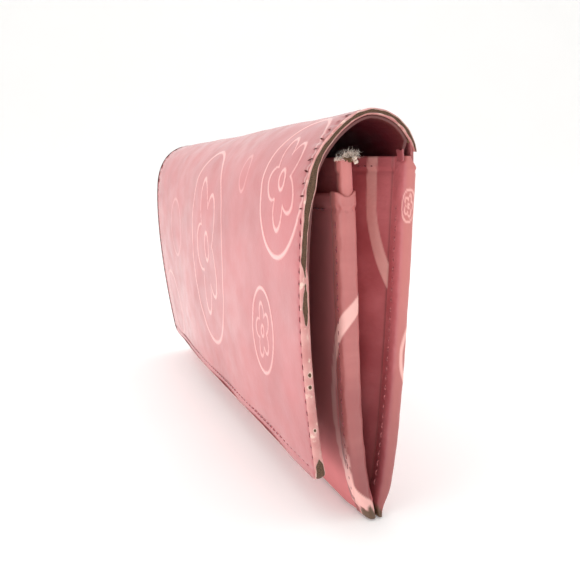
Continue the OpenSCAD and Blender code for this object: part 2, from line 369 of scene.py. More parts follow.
def holes(name, points, normals, radius, long=1.3):
    """The needle holes of a seam torn into short slits, drawn as flat discs in painted shade, that point to
    the sheet's end.
    """
    s = run_length(points)
    verts, faces = [], []
    sides = 10
    for k in range(int(s[-1] / STITCH_PITCH) + 1):
        p, n = (along(line, s, k * STITCH_PITCH) for line in (points, normals))
        u = unit(np.cross(n, [0.0, 0.35, 1.0]))
        v = np.cross(n, u)
        tilt, size = RNG.uniform(-0.25, 0.25), RNG.uniform(0.6, 1.2)
        u, v = (u * math.cos(tilt) + v * math.sin(tilt)) * size * long / radius, v * size
        first = len(verts)
        verts.append(p + n * 0.02)
        for ring, rise in ((0.7, 0.05), (1.0, 0.03)):
            for a in np.linspace(0, TURN, sides, endpoint=False):
                pinch = 0.35 + 0.65 * abs(math.sin(a))
                verts.append(p + n * rise + radius * ring * (math.cos(a) * u + pinch * math.sin(a) * v))
        for a in range(sides):
            b = (a + 1) % sides
            faces.append([first, first + 1 + a, first + 1 + b])
            faces.append([first + 1 + a, first + 1 + sides + a, first + 1 + sides + b, first + 1 + b])
    verts = np.array(verts)
    fit(piece(name, verts, faces, HOLE_MAT, verts[:, [0, 2]]), "thread", "flap")


# Materials


def srgb(r, g, b):
    """Linear colour from 0-255 display values."""
    return tuple(((c / 255 + 0.055) / 1.055) ** 2.4 for c in (r, g, b)) + (1.0,)


class Look:
    """A small builder for a procedural material."""

    def __init__(self, name, coordinates="UV", **sockets):
        self.material = bpy.data.materials.new(name)
        self.material.use_nodes = True
        self.nodes = self.material.node_tree.nodes
        self.shader = self.nodes["Principled BSDF"]
        self.coordinates = self.nodes.new("ShaderNodeTexCoord").outputs[coordinates]
        self.unit = UV_UNIT if coordinates == "UV" else 1 / MM
        for key, value in sockets.items():
            self.feed(self.shader.inputs[key.replace("_", " ")], value)

    def feed(self, socket, value):
        """Set a socket to a number or colour, or link it to another socket."""
        if isinstance(value, bpy.types.NodeSocket):
            self.material.node_tree.links.new(value, socket)
        elif value is not None:
            socket.default_value = value

    def new(self, kind, **inputs):
        """A new node with its inputs fed."""
        node = self.nodes.new("ShaderNode" + kind)
        for key, value in inputs.items():
            self.feed(node.inputs[key.replace("_", " ")], value)
        return node

    def scaled(self, size, stretch=(1, 1, 1)):
        """Coordinates in which one unit is size millimetres."""
        scale = [self.unit / size * k for k in stretch]
        return self.new("Mapping", Vector=self.coordinates, Scale=scale).outputs["Vector"]

    def noise(self, size, detail=3.0, stretch=(1, 1, 1)):
        """Noise whose features are about size millimetres across."""
        place = self.scaled(size, stretch)
        return self.new("TexNoise", Vector=place, Scale=1, Detail=detail, Roughness=0.5).outputs["Fac"]

    def cells(self, size):
        return self.new("TexVoronoi", Vector=self.scaled(size), Scale=1).outputs["Distance"]

    def wave(self, size, direction="X", distortion=0.0):
        scale = self.unit / size * 0.314
        node = self.new("TexWave", Vector=self.coordinates, Scale=scale, Distortion=distortion)
        node.bands_direction = direction
        return node.outputs["Fac"]

    def attribute(self, name):
        node = self.new("Attribute")
        node.attribute_name = name
        return node.outputs["Fac"]

    def limit(self, value, low_in, high_in, low_out=0.0, high_out=1.0):
        """The value eased from one range into another."""
        node = self.new("MapRange", Value=value, From_Min=low_in, From_Max=high_in,
                        To_Min=low_out, To_Max=high_out)
        node.interpolation_type = "SMOOTHSTEP"
        return node.outputs["Result"]

    def patches(self, size, detail, *limits, stretch=(1, 1, 1)):
        """Noise eased into a range."""
        return self.limit(self.noise(size, detail, stretch), *limits)

    def math(self, operation, a, b):
        node = self.new("Math")
        node.operation = operation
        self.feed(node.inputs[0], a)
        self.feed(node.inputs[1], b)
        return node.outputs[0]

    def mix(self, factor, a, b):
        """Colour a where factor is 0, b where it is 1."""
        node = self.new("Mix", Factor=factor)
        node.data_type = "RGBA"
        self.feed(node.inputs["A"], a)
        self.feed(node.inputs["B"], b)
        return node.outputs["Result"]

    def bump(self, height, depth_mm, below=None):
        return self.new("Bump", Height=height, Distance=depth_mm * MM, Normal=below).outputs["Normal"]

    def finish(self, color, roughness, normal=None, coat_normal=None):
        given = {"Base Color": color, "Roughness": roughness, "Normal": normal, "Coat Normal": coat_normal}
        for key, value in given.items():
            self.feed(self.shader.inputs[key], value)
        return self.material


PINK = srgb(198, 115, 118)
PINK_LINE = srgb(248, 190, 186)
PAINTED_SHADE_BURGUNDY = srgb(102, 33, 43)
BROWN = srgb(104, 76, 54)
ROLL_PINK = srgb(211, 126, 122)
# Dark rose used as painted shade: darker low down and along the pleats' creases.
PAINTED_SHADE_ROSE = srgb(112, 40, 46)
BAND = srgb(252, 192, 184)


def patent_leather(name, base, coat_weight, specular, roughest):
    """Glossy leather with slow clouds of colour, paler embossed lines and grime."""
    look = Look(name, Coat_Weight=coat_weight, Coat_Roughness=0.08, Coat_IOR=1.45,
                Specular_IOR_Level=specular)
    cloud = look.patches(26, 4, 0.35, 0.7)
    color = look.mix(cloud, base, tuple(c * 0.86 for c in base[:3]) + (1.0,))
    color = look.mix(look.math("MULTIPLY", look.attribute("emboss"), 0.85), color, PINK_LINE)
    color = look.mix(look.math("MULTIPLY", look.attribute("grime"), 0.75), color, srgb(150, 84, 82))
    roughness = look.limit(look.noise(9, 5), 0.3, 0.75, roughest - 0.14, roughest)
    grain = look.bump(look.noise(0.9, 4), 0.035)
    soft = look.bump(look.noise(6, 3), 0.12, grain)
    coat = look.bump(look.noise(9, 3), 0.035)
    return look.finish(color, roughness, soft, coat)


def lining_leather(name, dark, light):
    """Matt leather, tinted where its attributes say that it is paler, shaded, embossed or worn."""
    look = Look(name, Coat_Weight=0.35, Coat_Roughness=0.3, Specular_IOR_Level=0.45)
    color = look.mix(look.patches(12, 5, 0.3, 0.75), dark, light)
    # Of these tints, the dark rose one is painted shade.
    tints = {"blush": ROLL_PINK, "dusk": PAINTED_SHADE_ROSE, "emboss": BAND, "grime": BROWN}
    for key, tint in tints.items():
        color = look.mix(look.attribute(key), color, tint)
    grain = look.bump(look.cells(1.1), 0.06)
    creases = look.bump(look.noise(7, 5, (1, 2.5, 1)), 0.25, grain)
    return look.finish(color, look.patches(5, 4, 0.3, 0.8, 0.38, 0.6), creases)


def edge_paint():
    """Pale edge paint, with the brown board showing where it has worn away."""
    look = Look("edge_paint_look", Coat_Weight=0.3, Coat_Roughness=0.35, Specular_IOR_Level=0.4)
    flecks = look.patches(1.6, 6, 0.35, 0.8, -0.2, 0.42, stretch=(1, 0.6, 1))
    chips = look.math("ADD", look.attribute("wear"), flecks)
    worn = look.limit(chips, 0.4, 0.56)
    lip = look.limit(chips, 0.05, 0.3)
    paint = look.mix(look.patches(5, 4, 0.35, 0.7), srgb(204, 134, 130), srgb(222, 162, 156))
    paint = look.mix(lip, paint, srgb(236, 200, 186))
    fibre = look.mix(look.patches(0.5, 5, 0.3, 0.7, stretch=(1, 4, 1)), srgb(66, 46, 32), srgb(118, 86, 62))
    color = look.mix(worn, paint, fibre)
    rough = look.limit(worn, 0, 1, 0.4, 0.92)
    depth = look.bump(look.math("MULTIPLY", worn, -1.0), 0.2)
    return look.finish(color, rough, look.bump(look.noise(0.5, 5), 0.16, depth))


def bare_board():
    look = Look("bare_board_look", "Object", Specular_IOR_Level=0.2)
    color = look.mix(look.patches(0.8, 5, 0.3, 0.7, stretch=(1, 1, 5)), srgb(78, 54, 38), srgb(142, 112, 84))
    rough = look.patches(2, 3, 0.3, 0.7, 0.8, 0.95)
    return look.finish(color, rough, look.bump(look.noise(0.4, 5, (1, 1, 4)), 0.2))


def thread_look(name, light, dark):
    look = Look(name, Sheen_Weight=0.4, Specular_IOR_Level=0.3)
    twist = look.wave(0.45, "DIAGONAL", 1.5)
    color = look.mix(twist, dark, light)
    rough = look.patches(3, 3, 0.3, 0.7, 0.55, 0.8)
    return look.finish(color, rough, look.bump(twist, 0.08))


def needle_hole():
    look = Look("needle_hole_look", Specular_IOR_Level=0.1)
    # Flat dark discs: this red-brown is painted shade for the depth of each needle hole.
    color = look.mix(look.patches(1.2, 3, 0.3, 0.7), srgb(62, 24, 24), srgb(110, 52, 50))
    return look.finish(color, look.patches(1, 2, 0, 1, 0.8, 0.95))


def gold():
    look = Look("pale_gold_look", "Object", Metallic=1.0)
    color = look.mix(look.patches(4, 4, 0.35, 0.7), srgb(214, 178, 118), srgb(188, 148, 92))
    rough = look.patches(1.5, 5, 0.3, 0.8, 0.16, 0.34)
    return look.finish(color, rough, look.bump(look.noise(0.3, 3, (6, 1, 1)), 0.015))


def tape_look():
    look = Look("zip_tape_look", Sheen_Weight=0.3, Specular_IOR_Level=0.2)
    weave = look.math("MULTIPLY", look.wave(0.5, "X"), look.wave(0.5, "Y"))
    color = look.mix(weave, srgb(88, 26, 38), srgb(132, 50, 62))
    rough = look.patches(2, 3, 0.3, 0.7, 0.75, 0.9)
    return look.finish(color, rough, look.bump(weave, 0.1))


def floor_look():
    look = Look("pale_floor_look", "Object", Specular_IOR_Level=0.25, Emission_Color=(1, 1, 1, 1),
                Emission_Strength=0.13)
    color = look.mix(look.patches(90, 3, 0.3, 0.7), (0.915, 0.91, 0.9, 1), (0.925, 0.92, 0.91, 1))
    return look.finish(color, look.patches(40, 2, 0.3, 0.7, 0.55, 0.65))


PATENT_MAT = patent_leather("patent_leather_look", PINK, 0.45, 0.2, 0.42)
POCKET_MAT = patent_leather("pocket_patent_look", srgb(236, 146, 148), 0.03, 0.05, 0.7)
# The lining's two dark burgundy tones are its pink leather darkened: painted shade inside the arch and the
# flap.
LINING_MAT = lining_leather("lining_look", PAINTED_SHADE_BURGUNDY, srgb(118, 41, 51))
GUSSET_MAT = lining_leather("gusset_look", srgb(196, 102, 107), srgb(222, 132, 136))
WALL_MAT = lining_leather("pocket_leather_look", srgb(204, 104, 110), srgb(222, 126, 128))
ROLL_MAT = lining_leather("rolled_end_look", srgb(196, 112, 110), srgb(218, 134, 129))
EDGE_MAT = edge_paint()
FIBRE_MAT = thread_look("fibre_look", srgb(255, 246, 236), srgb(228, 206, 190))
BOARD_MAT = bare_board()
THREAD_MAT = thread_look("thread_look", srgb(240, 176, 170), srgb(200, 118, 116))
THREAD_DARK_MAT = thread_look("thread_dark_look", srgb(176, 84, 92), srgb(120, 48, 58))
THREAD_ROSE_MAT = thread_look("thread_rose_look", srgb(206, 122, 122), srgb(160, 74, 80))
HOLE_MAT = needle_hole()
GOLD_MAT = gold()
TAPE_MAT = tape_look()


# Embossed pattern


def to_ellipse(u, v, centre, radii, tilt_deg):
    """Position seen from an ellipse: share of its radius, and the angle."""
    a = math.radians(tilt_deg)
    du, dv = u - centre[0], v - centre[1]
    p = (du * math.cos(a) + dv * math.sin(a)) / radii[0]
    q = (-du * math.sin(a) + dv * math.cos(a)) / radii[1]
    return np.hypot(p, q), np.arctan2(q, p)


def line_at(distance, width):
    """1 on a line, falling to 0 at its sides."""
    return smooth((width / 2 - np.abs(distance)) / min(width / 2, 0.45) + 0.5)


def ring_mark(u, v, centre, radii, tilt_deg, width):
    share, _ = to_ellipse(u, v, centre, radii, tilt_deg)
    return line_at((share - 1) * math.sqrt(radii[0] * radii[1]), width)


def blossom_mark(u, v, centre, radii, tilt_deg, width, petals=5):
    """The outline of a plain five-petal blossom round a small ring."""
    share, angle = to_ellipse(u, v, centre, radii, tilt_deg)
    outline = 0.55 + 0.45 * np.abs(np.sin(petals / 2 * angle))
    size = math.sqrt(radii[0] * radii[1])
    heart = line_at((share - 0.2) * size, width)
    return np.maximum(line_at((share - outline) * size * 0.8, width), heart)


def flap_pattern(u, v):
    """Height of the flap's embossed lines at u along the wallet and v up the leather, from 0 to 1."""
    big, near_big, small = (3, 61.5), (77.5, 85), (63.5, 43.4)
    rings = [(big, (21.6, 34.5), 5, 1.0, 0.85), (near_big, (15.3, 19.5), 0, 1.0, 1),
             (small, (8.3, 12.4), -8, 0.75, 1), ((43, 87), (3.4, 5.5), 0, 0.8, 0.4),
             ((-52, 64), (9, 12), 0, 1.0, 0.35), ((-74, 28), (12, 14), 0, 1.0, 0.5),
             ((-20, 160), (22, 26), 0, 1.6, 0.5), ((50, 172), (24, 24), 0, 1.6, 0.4),
             ((-70, 190), (14, 14), 0, 1.6, 0.4)]
    blossoms = [(big, (13.5, 25), 5, 0.9, 0.85), (near_big, (9.5, 13), 10, 0.8, 0.9),
                (small, (5.2, 8.2), -8, 0.65, 0.8), ((-20, 160), (14, 17), 0, 1.5, 0.4)]
    marks = [height * ring_mark(u, v, *ring) for *ring, height in rings]
    return np.max(marks + [height * blossom_mark(u, v, *outline) for *outline, height in blossoms], axis=0)


def ripples(u, v, count, longest, shortest):
    """Slow uneven waves in a sheet, about -1 to 1."""
    total = np.zeros(np.broadcast(u, v).shape)
    for _ in range(count):
        size = RNG.uniform(shortest, longest)
        angle = RNG.uniform(0, math.pi)
        phase = RNG.uniform(0, TURN)
        total = total + np.sin(TURN * (u * math.cos(angle) + v * math.sin(angle)) / size + phase)
    return total / math.sqrt(count)


# Shell: back, arch and flap


SHELL_HALF = HALF_L - 0.8
CAP_X = HALF_L - 0.3
OVER_ARCH = joined(cubic(ARCH_BACK, 60), cubic(ARCH_NEAR, 90), cubic(FALL_NEAR, 200))
BACK_UP = FLAP_LOW + run_length(OVER_ARCH)[-1] + 1  # the hinge's place up the leather


def corner_inset(from_low, radius=3.0):
    """How far the flap's rounded lower corner pulls in, at a distance above its lower edge."""
    d = np.clip(radius - from_low, 0, radius)
    return radius - np.sqrt(radius ** 2 - d ** 2)


def shell_grid(xs, fine, gap=3):
    """Points, normals, height up the leather and distance from the flap's lower edge."""
    near, far = shell_profiles(fine, gap)
    points, normals = lofted(near, far, xs)
    s = run_length(near)
    from_low = s[-1] - s
    up = FLAP_LOW + from_low
    near_end = smooth((np.abs(points[..., 0]) - (HALF_L - END_ZONE)) / END_ZONE)
    on_back = smooth((up - BACK_UP) / 3)
    points[..., 0] -= np.sign(points[..., 0]) * (corner_inset(from_low) + 0.9 * on_back)[:, None] * near_end
    return points, normals, np.broadcast_to(up[:, None], points.shape[:2]), from_low


def shell_leather():
    xs = np.concatenate([spaced(-SHELL_HALF, 20, 0.6), spaced(20, SHELL_HALF, 0.42)[1:]])
    points, normals, up, from_low = shell_grid(xs, 1.0)
    u = points[..., 0]
    emboss = flap_pattern(u, up)
    from_end = HALF_L - np.abs(u)
    waves = 0.2 * ripples(u, up, 6, 80, 34) + 0.035 * ripples(u, up, 6, 16, 8)
    seam_in = end_inset(up)
    puckers = np.sin(TURN * up / STITCH_PITCH) * bell(from_end - seam_in, 2.2)
    groove = -0.14 * bell(from_end - seam_in, 0.7)
    hem = -0.16 * bell(from_low[:, None] - SEAM_IN, 0.7)
    on_arch = smooth((up - 74) / 12) * smooth((132 - up) / 10)
    creases = -0.35 * on_arch * np.exp(-from_end / 4) * np.abs(np.sin(math.pi * up / 5.8)) ** 6
    rounding = -0.45 * np.exp(-from_end / 0.7)
    puckers = puckers * (0.06 + 0.14 * on_arch)
    lift = 0.13 * emboss + waves * smooth(from_end / 12) + puckers + groove + hem + creases + rounding
    grime = np.exp(-from_end / 3.5) * (0.35 + 0.45 * on_arch) + 0.4 * on_arch * bell(from_end, 9)
    grime = np.clip(grime * np.where(u > 0, 1, 0.2) + 0.25 * np.exp(-from_low[:, None] / 2.5), 0, 1)
    leather = slab("shell_leather", (points, normals), 0, PATENT, PATENT_MAT, 0.1, lift,
                   emboss=emboss, grime=grime)
    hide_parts("back_panel", "flap_panel")
    bend(leather)


def bend(obj):
    """Bake the sheet's placement into its mesh."""
    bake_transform(obj)


def shell_depths(near):
    """Depth of the lining's two faces along the shell: thicker in the back leaf than in the flap."""
    to_flap = smooth((run_length(near) - run_length(cubic(BACK_CURVE, 60))[-1] + 3) / 9)
    outer = (BACK_T - 1.0) * (1 - to_flap) + (PATENT + FLAP_BOARD) * to_flap
    inner = BACK_T * (1 - to_flap) + FLAP_T * to_flap
    return outer, inner


def shell_lining():
    """The inner face of the back and of the flap, darkened to deep rose as painted shade, with its own soft
    waves.
    """
    xs = np.concatenate([[-SHELL_HALF], spaced(-SHELL_HALF + 1, SHELL_HALF - 1, 2.0), [SHELL_HALF]])
    points, normals, up, from_low = shell_grid(xs, 0.28, 4)
    tuck = 5 * smooth((up - BACK_UP) / 3) * smooth((np.abs(points[..., 0]) - 60) / 30)
    points[..., 0] -= np.sign(points[..., 0]) * tuck
    near, _ = shell_profiles(0.28, 4)
    outer, inner = shell_depths(near)
    u = points[..., 0]
    from_end = HALF_L - np.abs(u)
    waves = 0.04 * ripples(u, up, 5, 60, 20) * smooth(from_end / 15)
    skived = 0.5 * smooth((10 - from_low) / 10)
    depth = (inner - skived)[:, None] + waves
    grime = 0.4 * np.exp(-from_end / 3) * (u > 0)
    lining = slab("shell_lining", (points, -normals), -depth, -outer[:, None], LINING_MAT, 0.05,
                  emboss=u * 0, grime=grime)
    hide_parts("back_lining", "flap_lining")
    bend(lining)


def shell_boards():
    """The stiffening boards of the back and of the flap, a little short of every edge."""
    xs = spaced(-HALF_L + 1.0, HALF_L - 1.0, 6.0)
    points, normals, _, _ = shell_grid(xs, 0.2)
    near, _ = shell_profiles(0.2)
    outer, _ = shell_depths(near)
    hinge = int(np.argmax(near[:, 1] > HINGE_Z))
    for body, rows in (("back", slice(1, hinge - 2)), ("flap", slice(hinge, len(near) - 2))):
        grid = (points[rows], normals[rows])
        board = slab(f"{body}_stiffening", grid, PATENT, (outer - 0.02)[rows, None], BOARD_MAT, 0.05)
        fit(board, "edge_board", body, f"{body}_board")


def flap_wear(up, side):
    """How worn the flap's cut edge is: bare over the arch, chipped below, bare again at the corner."""
    if side < 0:
        return 0.25 * smooth((up - 90) / 8)
    arch = smooth((up - 61.5) / 5) * (1 - 0.3 * smooth((up - 88) / 8))
    corner = 1.15 * smooth((FLAP_LOW + 7 - up) / 3)
    chip = 0.75 * np.clip(1 - ((up - 55.5) / 4.5) ** 2, 0, 1) ** 0.5 + 0.5 * bell(up - 60.5, 0.7)
    return np.maximum(np.maximum(arch, corner), chip)


def edge_strip(name, outer, normal, away, wear, thickness, dots=()):
    """Edge paint over the cut layers; where it is worn the brown board shows, sunk between pale lips."""
    across = np.linspace(0, 1, 21)
    foot = 1 - np.clip(np.sin(math.pi * across), 0, 1) ** 0.4
    s = run_length(outer)
    tear = ripples(s[:, None] + across[None, :] * 0, across[None, :] * 2, 8, 8, 1.3)
    core = smooth((0.37 * wear[:, None] + 0.035 * tear - np.abs(across - 0.5)) / 0.09 + 0.2)
    core = core * smooth(wear / 0.15)[:, None]
    for place in dots:
        core = np.maximum(core, np.exp(-((s[:, None] - place) / 0.5) ** 2 - ((across - 0.46) / 0.17) ** 2))
    crown = 0.3 * np.sin(math.pi * across) * (1 - np.clip(wear, 0, 1)[:, None])
    out = 0.16 + crown - (0.26 + 0.07 * tear) * core - 0.75 * foot + 0.035 * tear
    sway = 0.07 * wear * ripples(s, s * 0, 6, 12, 3)
    shift = across[None, :] * thickness[:, None] - 0.14 + sway[:, None] * (1 - across[None, :])
    points = outer[:, None, :] - normal[:, None, :] * shift[..., None] + away[:, None, :] * out[..., None]
    uv = np.stack(np.broadcast_arrays(across[None, :] * 2.2, s[:, None]), axis=-1).reshape(-1, 2)
    faces = quads(*points.shape[:2])
    strip = piece(name, points.reshape(-1, 3), faces, EDGE_MAT, uv, {"wear": core.reshape(-1)})
    fit(strip, "edge_board", "flap")


def edge_thickness(up):
    """Thick and painted low down, thinner where the layers are worn over the shoulder and the arch."""
    low_down = 2.35 - 0.65 * smooth((up - 60) / 6) + 0.3 * smooth((FLAP_LOW + 8 - up) / 6)
    shoulder = low_down + 0.95 * bell(up - 84, 4.5) - 0.15 * smooth((up - 96) / 10)
    return shoulder * (0.3 + 0.7 * smooth((BACK_UP - up) / 9))


def flap_edges():
    """Edge strips round the flap: both ends and the lower edge."""
    near, _ = shell_profiles(1.6, 1.5)
    start = int(np.argmax(near[:, 1] > HINGE_Z))
    for side, name in ((1, "right"), (-1, "left")):
        xs = np.array([-SHELL_HALF, 1 - SHELL_HALF, 0, SHELL_HALF - 1, SHELL_HALF])
        points, normals, up, _ = shell_grid(xs, 1.6, 1.5)
        column = -1 if side > 0 else 0
        outer, normal, height = points[start:, column], normals[start:, column], up[start:, column]
        away = np.zeros_like(outer)
        away[:, 0] = side
        away[:, 2] = -1.2 * smooth((FLAP_LOW + 3.2 - height) / 3.2)
        away = unit(away)
        outer[:, 0] += side * (CAP_X - SHELL_HALF)
        dots = [np.interp(-z, -height, run_length(outer)) for z in (54, 39, 36, 25)] if side > 0 else ()
        thickness = edge_thickness(height) - (0.75 * smooth((34 - height) / 18) if side < 0 else 0)
        edge_strip(f"flap_edge_{name}", outer, normal, away, flap_wear(height, side), thickness, dots)
    xs = spaced(2.6 - HALF_L, HALF_L - 2.6, 0.8)
    points, normals, _, _ = shell_grid(xs, 1.0)
    outer, normal = points[-1], normals[-1]
    away = np.cross(np.array([1.0, 0, 0]), normal)
    away *= np.sign(-away[:, 2:3])
    chips = np.clip(ripples(xs, xs * 0, 5, 31, 7) - 1.1, 0, 1)
    edge_strip("flap_edge_low", outer, normal, away, chips, 1.75 + 0.4 * smooth((xs - 60) / 30))


def along_shell(side, inset, fine=1.4):
    """Points and normals of a line up the shell, set in from its end by a distance that may change."""
    xs = np.array([-SHELL_HALF, 0, SHELL_HALF])
    points, normals, up, from_low = shell_grid(xs, fine)
    column = -1 if side > 0 else 0
    line, height = points[:, column].copy(), up[:, column]
    line[:, 0] = side * (HALF_L - inset(height))
    return line, normals[:, column], height, from_low


def end_inset(up):
    """The end seam sits close to the painted edge and wanders inwards over the arch."""
    return 1.75 + 0.9 * smooth((up - 66) / 16) + 1.4 * smooth((up - 84) / 14)


def shell_seams():
    """Stitches down both ends and along the hem; over the arch the thread is gone and torn holes show."""
    for side, name in ((1, "right"), (-1, "left")):
        points, normals, up, from_low = along_shell(side, end_inset)
        sewn = points - normals * 0.12
        fall = (up < 77) & (from_low > 2.2)
        arch = (up >= 77) & (up < BACK_UP - 4)
        back = (up > BACK_UP + 4) & (points[:, 2] > 6)
        mat, hole = (THREAD_DARK_MAT, 0.24) if side > 0 else (THREAD_MAT, 0.14)
        nodes = ["thread_flap_ends", "thread_back_ends"] if side > 0 else []
        seam(f"flap_seam_{name}", "flap", sewn[fall], normals[fall], mat, radius=0.15, nodes=nodes[:1])
        holes(f"arch_holes_{name}", points[arch] + normals[arch] * 0.06, normals[arch], hole)
        seam(f"back_seam_{name}", "back", sewn[back], normals[back], THREAD_MAT, nodes=nodes[1:])
    xs = spaced(-HALF_L + SEAM_IN, HALF_L - SEAM_IN, 1.0)
    points, normals, _, from_low = shell_grid(xs, 1.0)
    row = nearest(from_low, SEAM_IN)
    hem = points[row] - normals[row] * 0.1
    seam("flap_seam_hem", "flap", hem, normals[row], radius=0.17, nodes=["thread_flap_hem"])


# Leaves


def leaf_sheet(name, path, z0, z1, near, far, half, mat, body, slot, node, step=2.0, bulge=0.3):
    """A flat-lying layer of a leaf, cut level at two heights."""
    ends = (z0, z1) if path[0, 1] < path[-1, 1] else (z1, z0)
    band = between(path, *ends, max(int(abs(z1 - z0) / step), 4))
    fit(slab(name, straight(band, spaced(-half, half, step)), near, far, mat, bulge), slot, body, node)


def level_seam(name, body, half, path, z, normal, nodes=()):
    """A seam along a leaf at one height."""
    order = np.argsort(path[:, 1])
    y = np.interp(z, path[order, 1], path[order, 0])
    xs = spaced(-half, half, 1.5)
    line = np.stack(np.broadcast_arrays(xs, y, z), axis=-1)
    seam(name, body, line, np.tile(normal, (len(xs), 1)), nodes=nodes)


BACK_PATH = cubic(BACK_CURVE, 90)
FRONT_PATH = cubic(FRONT_CURVE, 90)


def base_fold():
    """The bottom fold: a shallow trough of the same leather, worn where it stands."""
    y0, y1 = BASE_FRONT + 2.5, BASE_BACK
    corners = [(y0, 0.75), (y0 + 0.3, 0.3), (y0 + 1.3, 0.05), (0, 0.03), (y1 - 1.5, 0.05), (y1 - 0.3, 0.45),
               (y1 - 0.05, 1.3), (y1 - 0.35, 2.2)]
    path = rounded_section(corners, 44)
    xs = spaced(1.9 - HALF_L, HALF_L - 1.9, 1.5)
    grid = straight(path, xs)
    u = grid[0][..., 0]
    grime = 0.25 + 0.6 * np.exp(-(HALF_L - np.abs(u)) / 4) + 0.1 * ripples(u, grid[0][..., 1], 5, 30, 6)
    fold = slab("base_fold", grid, 0, 0.5, POCKET_MAT, 0.1, emboss=u * 0, grime=np.clip(grime, 0, 1))
    fit(fold, "patent_leather", "back", "base_strip")


def card_slots():
    facing = (0.0, -1.0, 0.05)
    for k, (name, top) in enumerate(zip(("upper", "middle", "lower"), SLOT_TOPS)):
        near = BACK_T + SLOT_GAP + k * (SLOT_T + SLOT_GAP)
        leaf_sheet(f"card_slot_{name}_leather", BACK_PATH, SLOT_LOW, top, near, near + SLOT_T, SLOT_HALF,
                   GUSSET_MAT, "back", "lining_leather", f"card_slot_{name}", bulge=0.15)
        face = deeper(BACK_PATH, near + SLOT_T)
        level_seam(f"card_slot_{name}_seam", "back", SLOT_HALF - 2, face, top - 2.2, facing)
    face = deeper(BACK_PATH, BACK_T + 3 * (SLOT_T + SLOT_GAP))
    line = np.insert(between(face, SLOT_LOW + 1, SLOT_TOPS[2] - 3, 20), 0, 0, axis=1)
    normals = np.tile(facing, (len(line), 1))
    seam("card_slot_middle_seam_line", "back", line, normals, nodes=["thread_card_slots"])


def front_pattern(u, z):
    """Broad bands and fine rings on the front leaf's pocket."""
    marks = [ring_mark(u, z, *FRONT_RING), ring_mark(u, z, (30, 40), (22, 34), 0, 1.2),
             blossom_mark(u, z, (30, 40), (14, 22), 0, 1.1), ring_mark(u, z, (-55, 50), (14, 18), 10, 1.1)]
    return np.max(marks, axis=0)


def pocket():
    """The slip pocket's leather with a turned hem, its lining and its seams."""
    band = between(FRONT_PATH, 0.9, POCKET_TOP - 0.4, 134)[::-1]
    xs = spaced(-HALF_L + 0.8, HALF_L - 0.8, 0.9)
    grid = straight(band, xs)
    u, z = grid[0][..., 0], grid[0][..., 2]
    emboss = front_pattern(u, z)
    hem = 0.14 * smooth((z - (POCKET_TOP - 3.4)) / 0.8) - 0.15 * bell(z - POCKET_TOP + 4, 0.6)
    tucked = 0.55 * smooth((np.abs(u) - 90.8) / 1.2)
    lift = 0.06 * emboss + hem + 0.05 * ripples(u, z, 5, 40, 12) - tucked
    grime = 0.3 * np.exp(-(z - FRONT_LOW) / 6)
    panel = slab("pocket_leather", grid, 0.15, PATENT, POCKET_MAT, 0.2, lift, emboss=emboss, grime=grime)
    fit(panel, "patent_leather", "front", "pocket_panel")
    row = nearest(z[:, 0], POCKET_TOP - 4)
    seam("pocket_hem_seam", "front", grid[0][row, 5:-5], grid[1][row, 5:-5], nodes=["thread_pocket_hem"])
    leaf_sheet("pocket_inside", FRONT_PATH, FRONT_LOW + 0.3, POCKET_TOP - 0.5, PATENT, SLIP_GAP[0],
               HALF_L - 1, GUSSET_MAT, "front", "lining_leather", "pocket_lining", step=4, bulge=0.1)


def coin_pocket():
    """Two leather walls with a gap between them; the rear one has the zip's window."""
    band = between(FRONT_PATH, FRONT_LOW + 0.3, FRONT_TOP - 0.2, 110)[::-1]
    xs = spaced(-HALF_L + 0.9, HALF_L - 0.9, 1.6)
    grid = straight(band, xs)
    u, z = grid[0][..., 0], grid[0][..., 2]
    waves = 0.06 * ripples(u, z, 5, 40, 14)
    plain = {"emboss": u * 0, "grime": 0.2 * np.exp(-(FRONT_TOP - z) / 2)}
    front = slab("coin_wall_front_leather", grid, SLIP_GAP[1], COIN_GAP[0], WALL_MAT, 0.3, waves, **plain)
    fit(front, "patent_leather", "front", "coin_wall_front")
    rows = [nearest(z[:, 0], ZIP_Z + k * WINDOW_H / 2) for k in (1, -1)]
    columns = [nearest(xs, k * (ZIP_HALF + 1.5)) for k in (-1, 1)]
    window = rows + columns
    back = slab("coin_wall_back_leather", grid, COIN_GAP[1], FRONT_T, GUSSET_MAT, window=window, **plain)
    fit(back, "lining_leather", "front", "coin_wall_back")


# Rolled ends and gussets


def grid_normals(points, along):
    """Unit normals of a grid of points, turned so that the middle one points along the given way."""
    n = unit(np.cross(np.gradient(points, axis=1), np.gradient(points, axis=0)))
    middle = n[n.shape[0] // 2, n.shape[1] // 2]
    return n * np.sign(middle @ np.array(along, float))


def rounded_section(corners, count):
    """A smooth run of (X, depth) points past the given corners, evenly spaced."""
    corners = np.array(corners, float)
    t = np.linspace(0, run_length(corners)[-1], count)
    line = np.stack([np.interp(t, run_length(corners), corners[:, k]) for k in (0, 1)], axis=-1)
    for _ in range(6):
        line[1:-1] = (line[:-2] + 2 * line[1:-1] + line[2:]) / 4
    return line


def turned_round(path, section, heights, side, slim):
    """Points of leather turned round a leaf's end, one row for each height."""
    leaf = between(path, heights[0], heights[-1], len(heights))
    inwards = outward(leaf) * (-1 if leaf[5, 0] > 0 else 1)
    yz = leaf[:, None, :] + inwards[:, None, :] * (section[None, :, 1] * slim[:, None])[..., None]
    wobble = 0.1 * ripples(heights[:, None], run_length(section)[None, :], 7, 24, 4)
    x = side * (section[None, :, 0] + wobble * smooth((section[None, :, 0] - 92.5) / 2))
    return np.stack([x, yz[..., 0], yz[..., 1]], axis=-1)


